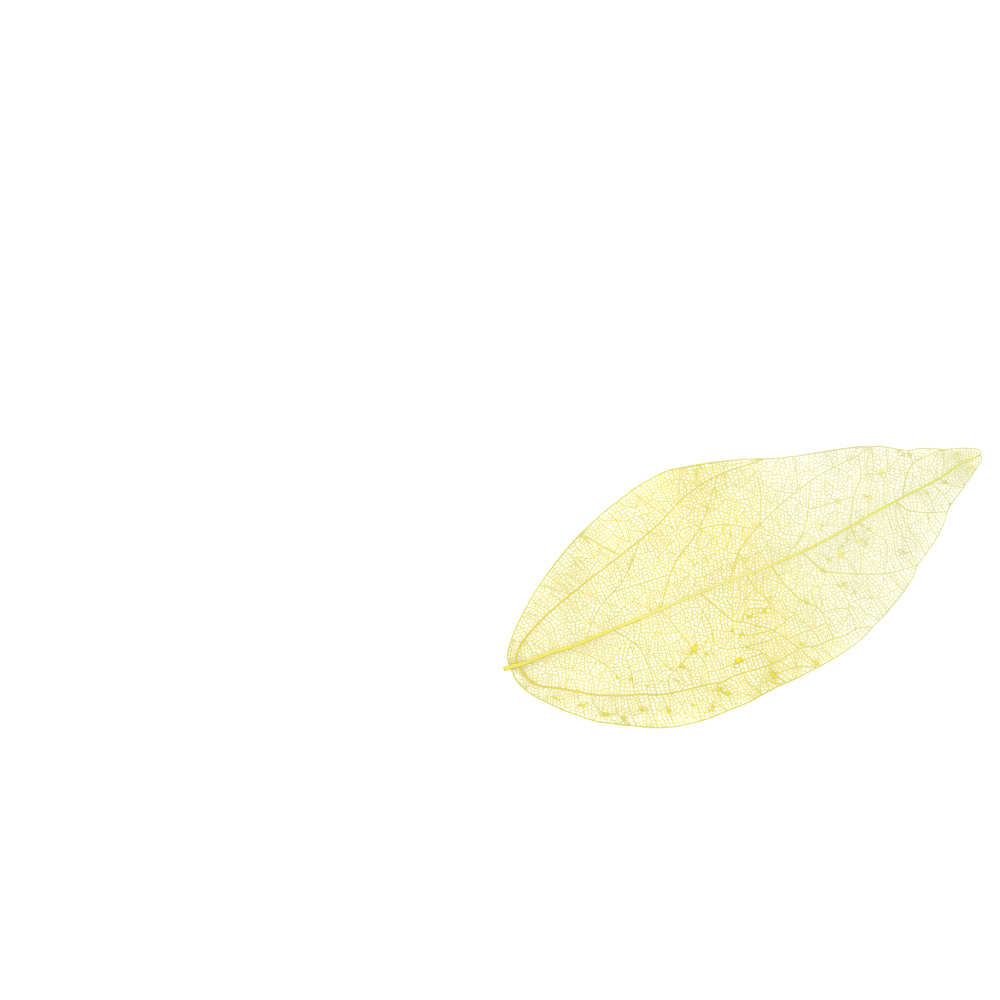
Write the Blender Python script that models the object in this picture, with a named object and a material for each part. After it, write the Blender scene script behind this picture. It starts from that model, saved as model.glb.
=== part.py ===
# Skeleton leaf: the dyed vein skeleton of one broad leaf, with its soft tissue gone.
# Midrib, side veins, margin vein and net grew together, so the leaf is one solid.
# It lies on its underside: +X runs from leaf base to tip, +Y to its left side, +Z is up.
import math
import random

import bmesh
import bpy
from mathutils import Vector
from mathutils.geometry import intersect_point_line

MM = 0.001

# Outline and veins on the flat leaf, in mm: the midrib starts at (0, 0) and the tip is at x = 85
LEAF_LENGTH = 85.0
RIGHT_MARGIN = [
    (0.2, -1.0), (1.8, -6.0), (6.0, -11.0), (13.0, -16.4), (22.0, -20.4), (31.0, -21.4),
    (43.5, -20.7), (54.5, -19.5), (60.0, -17.6), (69.0, -11.6), (76.5, -6.0), (83.5, -1.6),
]
TIP = [(85.0, -0.3), (85.2, 1.0)]
LEFT_MARGIN = [
    (84.0, 2.0), (79.5, 3.8), (74.0, 6.0), (67.5, 9.6), (53.0, 14.0), (44.0, 17.3),
    (36.5, 18.9), (27.5, 17.8), (18.0, 14.7), (7.5, 9.2), (2.0, 4.8), (0.2, 1.0),
]
MIDRIB = [(0.0, 0.0), (11.0, -0.9), (31.0, -1.4), (51.0, -2.2), (66.0, -1.1), (85.1, 0.3)]

# Side veins, each drawn after the veins that it joins
SIDE_VEINS = [
    # the two strong veins that run from the leaf base inside each margin
    [(0.6, -0.1), (3.5, -4.8), (10.0, -9.2), (22.0, -14.5), (33.0, -16.5), (45.0, -17.0), (57.3, -18.6)],
    [(0.6, 0.1), (3.5, 3.6), (10.0, 7.2), (22.0, 11.4), (33.0, 13.6), (44.0, 14.7), (52.5, 14.1)],
    # right half, from base to tip
    [(18.0, -1.2), (21.0, -5.3), (22.8, -9.0), (22.2, -14.5)],
    [(33.5, -1.5), (35.4, -5.8), (39.0, -9.6), (42.5, -12.6), (44.7, -17.0)],
    [(46.0, -2.1), (47.6, -7.6), (50.4, -12.1), (50.6, -17.4)],
    [(48.0, -9.4), (45.1, -11.5), (42.5, -12.6)],
    [(51.5, -2.2), (54.4, -7.2), (61.0, -10.5), (69.0, -11.6)],
    [(54.6, -7.3), (55.3, -12.0), (54.4, -17.9)],
    [(59.3, -1.8), (60.6, -5.9), (58.9, -9.7)],
    [(62.1, -1.5), (64.9, -6.5), (62.8, -11.0)],
    [(69.2, -0.9), (71.2, -3.9), (76.5, -6.0)],
    # left half, from base to tip
    [(13.0, -1.0), (17.5, 3.6), (24.0, 6.6), (29.0, 12.8)],
    [(26.5, -1.3), (31.5, 4.4), (38.0, 8.4), (44.0, 14.7)],
    [(38.8, -1.7), (43.0, 2.7), (50.5, 6.0), (60.4, 8.2), (68.8, 8.9)],
    [(48.5, -2.1), (53.5, 1.2), (57.7, 7.9)],
    [(60.4, -1.6), (64.2, 3.6), (66.7, 8.4)],
    [(70.5, -0.7), (72.5, 2.2), (79.4, 3.7)],
]

# Kinds of vein, from fine to coarse, and the full width and height of each one's ridged bar in mm
NET, MARGIN, SIDE, RIB = range(4)
WIDTH = {NET: 0.62, MARGIN: 0.80, SIDE: 0.90, RIB: 1.30}
HEIGHT = {NET: 0.64, MARGIN: 0.90, SIDE: 0.95, RIB: 1.40}
RIB_LEFT_AT_TIP = 0.6  # share of the midrib's section

# How the net is drawn, in mm
OUTLINE_STEP = 3.0
VEIN_STEP = 4.0
CELL_AREA = 8.0  # mm2, about the largest cell that isn't split again
CELL_SPREAD = 0.3
CUT_SKEW = 0.3  # radians either way
CUT_SHIFT = 0.12  # share of a cell's length either way
CUT_TRIES = 5
JUNCTION_GAP = 0.75  # least distance between two junctions on a vein
RELAX_ROUNDS = 3
SEED = 7
NET_GIVES = 0.5  # share of the way to its neighbours' middle that a junction moves in one round
SIDE_GIVES = 0.12
SLIGHT_BEND = {NET: 0.3, MARGIN: 0.12, SIDE: 0.25, RIB: 0.1}  # radians, bends under this are left out

# How each opening is shaped
LEAST_SIDE = 0.12  # mm, sides shorter than this close up
LEAST_OPENING = 0.15  # mm2
STRAIGHT_ON = 0.35  # sine of the turn below which a rim runs straight past a vein's bend
SHARPEST = 0.1  # sine of the turn in the sharpest corner
LONGEST_CORNER = 2.2  # distance of an opening's corner from the vein, in half widths
SLANT = 0.6  # least share of a bar's width that the outline keeps in a sharp bend
SAME_PLACE = 0.001  # mm

# Resting shape, in mm: an arched midrib, with halves that fall to waved margins
ARCH_RISE = 3.4
ARCH_FULLNESS = 0.9
TIP_LIFT = 1.1
TIP_RUN = 21.0
BASE_LIFT = 0.30
BASE_RUN = 8.0
MARGIN_WAVE = 1.3
LOW_POINTS = {1: (17.0, 41.0, 66.0), -1: (15.0, 38.0, 62.0)}  # x where each margin touches down
LOW_POINT_REACH = 11.0
FLAT_CUT = 0.14  # taken off the underside of each low point, so that the leaf lies on flat spots

# Root of the midrib, cut off just outside the blade
ROOT_ENDS = (-1.2, 5.0)
ROOT_RADII = (0.78, 0.42)
ROOT_POINTS = 4

DYED_FIBRE = (0.80, 0.74, 0.24, 1.0)


def clear_scene():
    for thing in list(bpy.data.objects):
        bpy.data.objects.remove(thing, do_unlink=True)


def smooth_path(points, step):
    """Points about step apart on a round curve through the given ones, both ends kept."""
    knots = [Vector((x, y, 0.0)) for x, y in points]
    knots = [2 * knots[0] - knots[1], *knots, 2 * knots[-1] - knots[-2]]
    fine = [knots[1]]
    for p0, p1, p2, p3 in zip(knots, knots[1:], knots[2:], knots[3:]):
        for i in range(1, 13):
            t = i / 12
            fine.append(0.5 * (2 * p1 + (p2 - p0) * t + (2 * p0 - 5 * p1 + 4 * p2 - p3) * t**2
                               + (3 * p1 - p0 - 3 * p2 + p3) * t**3))
    lengths = [0.0]
    for a, b in zip(fine, fine[1:]):
        lengths.append(lengths[-1] + (b - a).length)
    count = max(1, round(lengths[-1] / step))
    path, k = [fine[0]], 0
    for i in range(1, count):
        wanted = lengths[-1] * i / count
        while lengths[k + 1] < wanted:
            k += 1
        share = (wanted - lengths[k]) / (lengths[k + 1] - lengths[k])
        path.append(fine[k].lerp(fine[k + 1], share))
    return path + [fine[-1]]


def inside(face, point):
    hit = False
    for loop in face.loops:
        a, b = loop.vert.co, loop.link_loop_next.vert.co
        if (a.y > point.y) != (b.y > point.y):
            if point.x < a.x + (point.y - a.y) * (b.x - a.x) / (b.y - a.y):
                hit = not hit
    return hit


def place_on(edge, point):
    """Share of the way along edge that lies nearest to point."""
    a, b = (vert.co for vert in edge.verts)
    return min(max(intersect_point_line(point, a, b)[1], 0.0), 1.0)


def nearest_edge(bm, point):
    def gap(edge):
        a, b = (vert.co for vert in edge.verts)
        return (a.lerp(b, place_on(edge, point)) - point).length
    return min(bm.edges, key=gap)


def junction(edge, point):
    """The vertex where a vein joins edge near point: a bend of it, or a new one clear of its ends."""
    a, b = edge.verts
    length = edge.calc_length()
    share = place_on(edge, point)
    for vert, gap in ((a, share * length), (b, (1 - share) * length)):
        if gap < JUNCTION_GAP and len(vert.link_edges) == 2:
            return vert
    keep = min(0.5, JUNCTION_GAP / length)
    return bmesh.utils.edge_split(edge, a, min(max(share, keep), 1 - keep))[1]


def add_vein(bm, kinds, points, kind):
    path = smooth_path(points, VEIN_STEP)
    start = junction(nearest_edge(bm, path[0]), path[0])
    end = junction(nearest_edge(bm, path[-1]), path[-1])
    middle = path[len(path) // 2] if len(path) > 2 else (start.co + end.co) / 2
    for face in start.link_faces:
        if end in face.verts and inside(face, middle):
            before = set(bm.edges)
            bmesh.utils.face_split(face, start, end, coords=path[1:-1])
            for edge in set(bm.edges) - before:
                edge[kinds] = kind
            return


def draw_veins(bm, kinds):
    outline = smooth_path(RIGHT_MARGIN, OUTLINE_STEP)
    outline += [Vector((x, y, 0.0)) for x, y in TIP]
    outline += smooth_path(LEFT_MARGIN, OUTLINE_STEP)
    outline.append(Vector((*MIDRIB[0], 0.0)))
    bm.faces.new([bm.verts.new(point) for point in outline])
    for edge in bm.edges:
        edge[kinds] = MARGIN
    add_vein(bm, kinds, MIDRIB, RIB)
    for points in SIDE_VEINS:
        add_vein(bm, kinds, points, SIDE)


def long_axis(face):
    """Direction in which the cell is longest, from the spread of its edges."""
    centre = face.calc_center_median()
    xx = yy = xy = 0.0
    for edge in face.edges:
        offset = (edge.verts[0].co + edge.verts[1].co) / 2 - centre
        weight = edge.calc_length()
        xx += weight * offset.x**2
        yy += weight * offset.y**2
        xy += weight * offset.x * offset.y
    angle = 0.5 * math.atan2(2 * xy, xx - yy)
    return Vector((math.cos(angle), math.sin(angle), 0.0))


def split_cell(bm, face, draw):
    """Splits a cell across its length by one vein. Returns its parts, or nothing if no vein fits."""
    axis = long_axis(face)
    centre = face.calc_center_median_weighted()
    length = 2 * max(abs((vert.co - centre).dot(axis)) for vert in face.verts)
    point = centre + axis * length * draw.uniform(-CUT_SHIFT, CUT_SHIFT)
    skew = draw.uniform(-CUT_SKEW, CUT_SKEW)
    side = Vector((axis.x * math.cos(skew) - axis.y * math.sin(skew),
                   axis.x * math.sin(skew) + axis.y * math.cos(skew), 0.0))
    way = Vector((-side.y, side.x, 0.0))
    hits = []
    for loop in face.loops:
        a, b = loop.vert.co - point, loop.link_loop_next.vert.co - point
        if (a.dot(side) > 0) != (b.dot(side) > 0):
            share = a.dot(side) / (a.dot(side) - b.dot(side))
            hits.append((a.lerp(b, share).dot(way), loop.edge))
    hits.sort(key=lambda hit: hit[0])
    spans = [(abs(a[0] + b[0]), a, b) for a, b in zip(hits, hits[1:])
             if inside(face, point + way * (a[0] + b[0]) / 2)]
    if not spans:
        return []
    ends = min(spans, key=lambda span: span[0])[1:]
    start, end = (junction(edge, point + way * along) for along, edge in ends)
    if start is end or any(end in edge.verts for edge in start.link_edges):
        return []
    made = bmesh.utils.face_split(face, start, end)[0]
    return [face, made] if made else []


def split_cells(bm, draw):
    cells = list(bm.faces)
    while cells:
        cell = cells.pop(0)
        if cell.calc_area() > CELL_AREA * (1 + draw.uniform(-CELL_SPREAD, CELL_SPREAD)):
            parts = []
            for _ in range(CUT_TRIES):
                parts = parts or split_cell(bm, cell, draw)
            cells.extend(parts)


def relax(bm, kinds):
    """Evens out the net. Side veins give a little, so they zigzag from branch to branch."""
    for _ in range(RELAX_ROUNDS):
        for kind, share in ((NET, NET_GIVES), (SIDE, SIDE_GIVES)):
            verts = [v for v in bm.verts if max(edge[kinds] for edge in v.link_edges) == kind]
            bmesh.ops.smooth_vert(bm, verts=verts, factor=share, use_axis_x=True, use_axis_y=True)


def leave_out_slight_bends(bm, kinds):
    for vert in [v for v in bm.verts if len(v.link_edges) == 2]:
        kind = max(edge[kinds] for edge in vert.link_edges)
        a, b = (edge.other_vert(vert).co - vert.co for edge in vert.link_edges)
        if math.pi - a.angle(b) < SLIGHT_BEND[kind]:
            bmesh.utils.vert_collapse_edge(vert, vert.link_edges[0])


def half_section(edge, kinds, vert, sizes):
    """Half the vein's width or height where it passes vert."""
    share = 1.0
    if edge[kinds] == RIB:
        share += (RIB_LEFT_AT_TIP - 1) * vert.co.x / LEAF_LENGTH
    return sizes[edge[kinds]] * share / 2


def left_of(a, b):
    way = (b.co - a.co).normalized()
    return Vector((-way.y, way.x, 0.0))


def corner(kinds, into, vert, out):
    """Where a cell's rim turns at vert, between the edges that come into and go out of it."""
    before, after = into.other_vert(vert), out.other_vert(vert)
    width_in = half_section(into, kinds, vert, WIDTH)
    width_out = half_section(out, kinds, vert, WIDTH)
    left_in, left_out = left_of(before, vert), left_of(vert, after)
    turn = left_in.cross(left_out).z
    if abs(turn) < STRAIGHT_ON and left_in.dot(left_out) > 0:
        mean = (left_in + left_out).normalized()
        return vert.co + mean * (width_in + width_out) / 2
    way_in, way_out = (vert.co - before.co).normalized(), (after.co - vert.co).normalized()
    turn = math.copysign(max(abs(turn), SHARPEST), turn)
    offset = (way_out * width_in - way_in * width_out) / turn
    longest = LONGEST_CORNER * max(width_in, width_out)
    return vert.co + offset * min(1.0, longest / offset.length)


def closing_side(loops, places, runs):
    """Index of a side of the opening that has closed up or turned round, or None."""
    for i, run in enumerate(runs):
        a, b = run[-1], runs[(i + 1) % len(runs)][0]
        if (places[b] - places[a]).dot(loops[b].vert.co - loops[a].vert.co) < LEAST_SIDE**2:
            return i
    return None


def rim_places(face, kinds):
    """Corners of the opening in a cell, of which some may share a place where a short side closes up.
    Nothing is returned for a cell that is too small to stay open."""
    loops = list(face.loops)
    places = [corner(kinds, loop.link_loop_prev.edge, loop.vert, loop.edge) for loop in loops]
    runs = [[i] for i in range(len(loops))]
    closing = closing_side(loops, places, runs)
    while closing is not None and len(runs) > 3:
        runs = runs[closing:] + runs[:closing]
        merged = runs[0] + runs[1]
        middle = (places[runs[0][0]] + places[runs[1][0]]) / 2
        for i in merged:
            places[i] = middle
        runs = [merged, *runs[2:]]
        closing = closing_side(loops, places, runs)
    corners = [places[run[0]] for run in runs]
    area = sum(a.cross(b).z for a, b in zip(corners, corners[1:] + corners[:1])) / 2
    return places if area > LEAST_OPENING else None


def open_cells(bm, kinds, rise):
    """Turns the cells into holes, each with a rim of faces round it as wide as its veins ask.
    The few that are too narrow for that stay closed, as blade."""
    rims = {face: rim_places(face, kinds) for face in bm.faces}
    cells = [face for face, rim in rims.items() if rim]
    places = [rims[face] for face in cells]
    starts = [face.loops[0].vert.co.copy() for face in cells]
    bmesh.ops.inset_individual(bm, faces=cells, thickness=0.01)
    for face, rim, start in zip(cells, places, starts):
        verts = [loop.vert for loop in face.loops]
        first = min(range(len(verts)), key=lambda i: (verts[i].co - start).length)
        for vert, place in zip(verts[first:] + verts[:first], rim):
            vert.co = place
            vert[rise] = 0.0
    bmesh.ops.delete(bm, geom=cells, context="FACES_ONLY")


def add_outer_rim(bm, rise):
    outer = [e for e in bm.edges if e.is_boundary and min(vert[rise] for vert in e.verts) > 0]
    ways = {}
    for edge in outer:
        loop = edge.link_loops[0]
        for vert in edge.verts:
            ways.setdefault(vert, []).append(-left_of(loop.vert, loop.link_loop_next.vert))
    made = bmesh.ops.extrude_edge_only(bm, edges=outer)["geom"]
    for vert in [v for v in made if isinstance(v, bmesh.types.BMVert)]:
        source = next(e.other_vert(vert) for e in vert.link_edges if e.other_vert(vert) in ways)
        mean = (ways[source][0] + ways[source][1]).normalized()
        vert.co = source.co + mean * WIDTH[MARGIN] / 2 / max(mean.dot(ways[source][0]), SLANT)
        vert[rise] = 0.0


def margin_line(points):
    """Distance of a margin from the leaf's axis, as (x, distance) from base to tip."""
    return sorted((p.x, abs(p.y)) for p in smooth_path(points, 1.0))


def distance_at(line, x):
    for (x0, y0), (x1, y1) in zip(line, line[1:]):
        if x0 <= x < x1:
            return y0 + (y1 - y0) * (x - x0) / (x1 - x0)
    return line[0][1] if x < line[0][0] else line[-1][1]


def smoothstep(t):
    t = min(max(t, 0.0), 1.0)
    return t * t * (3 - 2 * t)


def resting_height(margins, x, y):
    """Height of the leaf's middle surface at (x, y)."""
    side = 1 if y > 0 else -1
    out = min(abs(y) / max(distance_at(margins[side], x), 2.0), 1.0)
    along = min(max(x / LEAF_LENGTH, 0.0), 1.0)
    tip = TIP_LIFT * smoothstep((x - LEAF_LENGTH + TIP_RUN) / TIP_RUN)
    wave = MARGIN_WAVE * min(smoothstep(abs(x - low) / LOW_POINT_REACH) for low in LOW_POINTS[side])
    wave *= smoothstep(x / LOW_POINT_REACH) * smoothstep((LEAF_LENGTH - x) / LOW_POINT_REACH)
    middle = BASE_LIFT + ARCH_RISE * abs(math.sin(math.pi * along)) ** ARCH_FULLNESS
    edge = BASE_LIFT * (1 - smoothstep(x / BASE_RUN)) + wave
    return tip + middle * (1 - out**2) + edge * out**2


def make_net(bm):
    """The whole leaf but its root: ridged bars on every vein, closed, with open cells between."""
    kinds = bm.edges.layers.int.new("kind")
    draw_veins(bm, kinds)
    split_cells(bm, random.Random(SEED))
    relax(bm, kinds)
    leave_out_slight_bends(bm, kinds)
    rise = bm.verts.layers.float.new("rise")
    for vert in bm.verts:
        vert[rise] = max(half_section(edge, kinds, vert, HEIGHT) for edge in vert.link_edges)
    open_cells(bm, kinds, rise)
    add_outer_rim(bm, rise)
    margins = {1: margin_line(LEFT_MARGIN), -1: margin_line(RIGHT_MARGIN)}
    for vert in bm.verts:
        vert.co.z = resting_height(margins, vert.co.x, vert.co.y)
    tops = list(bm.verts)
    below = bmesh.ops.duplicate(bm, geom=[*bm.verts, *bm.edges, *bm.faces])
    bmesh.ops.reverse_faces(bm, faces=[g for g in below["geom"] if isinstance(g, bmesh.types.BMFace)])
    rims = {}
    for vert in tops:
        twin = below["vert_map"][vert]
        if vert[rise] > 0:
            vert.co.z += vert[rise]
            twin.co.z -= vert[rise]
        else:
            rims[vert] = twin
    bmesh.ops.weld_verts(bm, targetmap=rims)
    bmesh.ops.remove_doubles(bm, verts=bm.verts, dist=SAME_PLACE)
    bmesh.ops.triangulate(bm, faces=bm.faces)


def make_root():
    """The thick start of the midrib, as a tapered round stub that sinks into it."""
    curve = bpy.data.curves.new("root", "CURVE")
    curve.dimensions = "3D"
    curve.bevel_depth = 1.0
    curve.bevel_resolution = 2
    curve.use_fill_caps = True
    spline = curve.splines.new("POLY")
    spline.points.add(ROOT_POINTS - 1)
    margins = {1: margin_line(LEFT_MARGIN), -1: margin_line(RIGHT_MARGIN)}
    for i, point in enumerate(spline.points):
        share = i / (ROOT_POINTS - 1)
        x = ROOT_ENDS[0] + (ROOT_ENDS[1] - ROOT_ENDS[0]) * share
        y = MIDRIB[1][1] * x / MIDRIB[1][0]
        point.co = (x, y, resting_height(margins, x, y), 1.0)
        point.radius = ROOT_RADII[0] + (ROOT_RADII[1] - ROOT_RADII[0]) * share
    tube = bpy.data.objects.new("root", curve)
    bpy.context.scene.collection.objects.link(tube)
    bpy.context.view_layer.update()
    mesh = bpy.data.meshes.new_from_object(tube.evaluated_get(bpy.context.evaluated_depsgraph_get()))
    bpy.data.objects.remove(tube)
    bm = bmesh.new()
    bm.from_mesh(mesh)
    bmesh.ops.remove_doubles(bm, verts=bm.verts, dist=SAME_PLACE)
    bm.to_mesh(mesh)
    bm.free()
    root = bpy.data.objects.new("root", mesh)
    bpy.context.scene.collection.objects.link(root)
    return root


def cut_flat_spots(bm):
    """Takes a little off the lowest places, so that the leaf lies on flat spots."""
    floor = -HEIGHT[MARGIN] / 2 + FLAT_CUT
    bmesh.ops.bisect_plane(bm, geom=[*bm.verts, *bm.edges, *bm.faces], dist=SAME_PLACE,
                           plane_co=(0, 0, floor), plane_no=(0, 0, 1), clear_inner=True)
    cut = [edge for edge in bm.edges if edge.is_boundary]
    bmesh.ops.holes_fill(bm, edges=cut, sides=0)
    bmesh.ops.triangulate(bm, faces=[face for face in bm.faces if len(face.verts) > 3])


def dyed_fibre():
    material = bpy.data.materials.new("dyed_fibre")
    material.use_nodes = True
    shader = material.node_tree.nodes["Principled BSDF"]
    shader.inputs["Base Color"].default_value = DYED_FIBRE
    shader.inputs["Roughness"].default_value = 0.62
    shader.inputs["Metallic"].default_value = 0.0
    material.diffuse_color = DYED_FIBRE
    return material


def make_leaf():
    mesh = bpy.data.meshes.new("skeleton_leaf")
    bm = bmesh.new()
    make_net(bm)
    bm.to_mesh(mesh)
    bm.free()
    leaf = bpy.data.objects.new("skeleton_leaf", mesh)
    collection = bpy.data.collections.new("skeleton_leaf")
    bpy.context.scene.collection.children.link(collection)
    collection.objects.link(leaf)

    root = make_root()
    union = leaf.modifiers.new("root", "BOOLEAN")
    union.operation = "UNION"
    union.object = root
    bpy.context.view_layer.update()
    joined = bpy.data.meshes.new_from_object(leaf.evaluated_get(bpy.context.evaluated_depsgraph_get()))
    leaf.modifiers.clear()
    bpy.data.objects.remove(root)

    bm = bmesh.new()
    bm.from_mesh(joined)
    cut_flat_spots(bm)
    low = Vector([min(vert.co[i] for vert in bm.verts) for i in range(3)])
    high = Vector([max(vert.co[i] for vert in bm.verts) for i in range(3)])
    middle = (low + high) / 2
    bmesh.ops.translate(bm, verts=bm.verts, vec=(-middle.x, -middle.y, -low.z))
    bmesh.ops.scale(bm, verts=bm.verts, vec=(MM, MM, MM))
    bm.to_mesh(joined)
    bm.free()
    leaf.data = joined
    joined.name = "skeleton_leaf"
    joined.materials.clear()
    joined.materials.append(dyed_fibre())
    return leaf


clear_scene()
make_leaf()
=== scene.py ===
# Looks of the skeleton leaf: midrib, veins and fine net, lying on a pale floor in soft light
import math
import random

import bmesh
import bpy
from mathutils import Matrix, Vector, noise
from mathutils.geometry import intersect_point_line


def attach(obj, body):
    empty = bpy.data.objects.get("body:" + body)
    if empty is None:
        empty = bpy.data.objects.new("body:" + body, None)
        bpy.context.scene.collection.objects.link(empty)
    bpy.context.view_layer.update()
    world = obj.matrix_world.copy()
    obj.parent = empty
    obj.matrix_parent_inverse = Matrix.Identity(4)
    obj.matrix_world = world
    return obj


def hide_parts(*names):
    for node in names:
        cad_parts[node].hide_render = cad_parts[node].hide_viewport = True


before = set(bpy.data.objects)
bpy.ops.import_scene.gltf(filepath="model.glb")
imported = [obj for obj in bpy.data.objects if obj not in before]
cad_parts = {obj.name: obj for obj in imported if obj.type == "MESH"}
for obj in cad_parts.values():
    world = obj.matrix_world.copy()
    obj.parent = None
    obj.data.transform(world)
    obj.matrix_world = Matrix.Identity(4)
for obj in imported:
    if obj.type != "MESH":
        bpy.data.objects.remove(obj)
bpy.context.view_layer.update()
print("frame loaded")

mm = 0.001

# The flat leaf, in mm: the midrib starts at (0, 0), the tip is at x = 85, the left half has y > 0
leafPlan = {
    "length": 85.0,
    "centre": (42.172, -1.24),  # the place that lies over the middle of the frame
    "rightMargin": [
        (0.1, -0.9), (0.0, -1.9), (0.2, -3.0), (1.0, -4.9), (2.2, -6.6), (3.5, -8.2), (5.3, -10.2),
        (7.3, -12.1), (9.4, -14.0), (11.2, -15.1), (13.1, -16.3), (14.9, -17.3), (17.4, -18.7),
        (19.3, -19.5), (21.1, -20.1), (23.1, -20.5), (25.3, -20.9), (28.3, -21.1), (31.1, -21.2),
        (33.1, -21.3), (36.2, -21.1), (39.2, -20.9), (42.4, -20.9), (45.5, -20.7), (48.7, -20.5),
        (51.7, -20.0), (54.6, -19.4), (57.5, -18.2), (59.4, -17.5), (62.0, -16.3), (64.6, -14.9),
        (66.4, -13.7), (67.2, -12.9), (68.1, -12.0), (70.0, -10.9), (71.8, -9.8), (73.4, -8.7),
        (74.9, -7.4), (75.5, -6.7), (76.2, -5.8), (77.2, -5.1), (79.1, -4.0), (81.0, -2.9),
        (82.8, -1.8), (84.6, -0.6),
    ],
    "tip": [(84.95, -0.25), (85.0, 0.1), (84.9, 0.35), (85.2, 0.7), (85.2, 1.1)],
    "leftMargin": [
        (84.7, 1.6), (84.0, 2.0), (82.3, 2.8), (80.5, 3.4), (79.6, 3.75), (78.7, 4.3), (77.3, 5.0),
        (76.1, 5.5), (75.0, 5.7), (73.9, 6.15), (72.8, 6.85), (71.2, 8.0), (70.1, 8.6), (68.7, 9.1),
        (67.0, 9.9), (61.2, 11.5), (54.8, 13.3), (49.6, 15.4), (44.2, 17.2), (39.2, 18.5),
        (36.4, 19.0), (31.3, 18.6), (27.3, 17.7), (23.9, 16.8), (18.3, 14.8), (12.5, 11.9),
        (7.5, 8.7), (3.2, 5.2), (0.6, 2.3), (0.1, 0.9),
    ],
    "midrib": [
        (0.0, 0.0), (2.7, -0.4), (7.2, -0.5), (10.9, -1.0), (16.6, -1.1), (23.4, -1.3),
        (31.0, -1.4), (37.9, -1.5), (44.6, -2.0), (51.4, -2.15), (56.0, -1.95), (60.0, -1.65),
        (64.0, -1.2), (68.0, -0.9), (72.0, -0.65), (76.0, -0.45), (78.2, -0.2), (80.2, 0.25),
        (82.0, 0.42), (84.9, 0.38),
    ],
}

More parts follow.
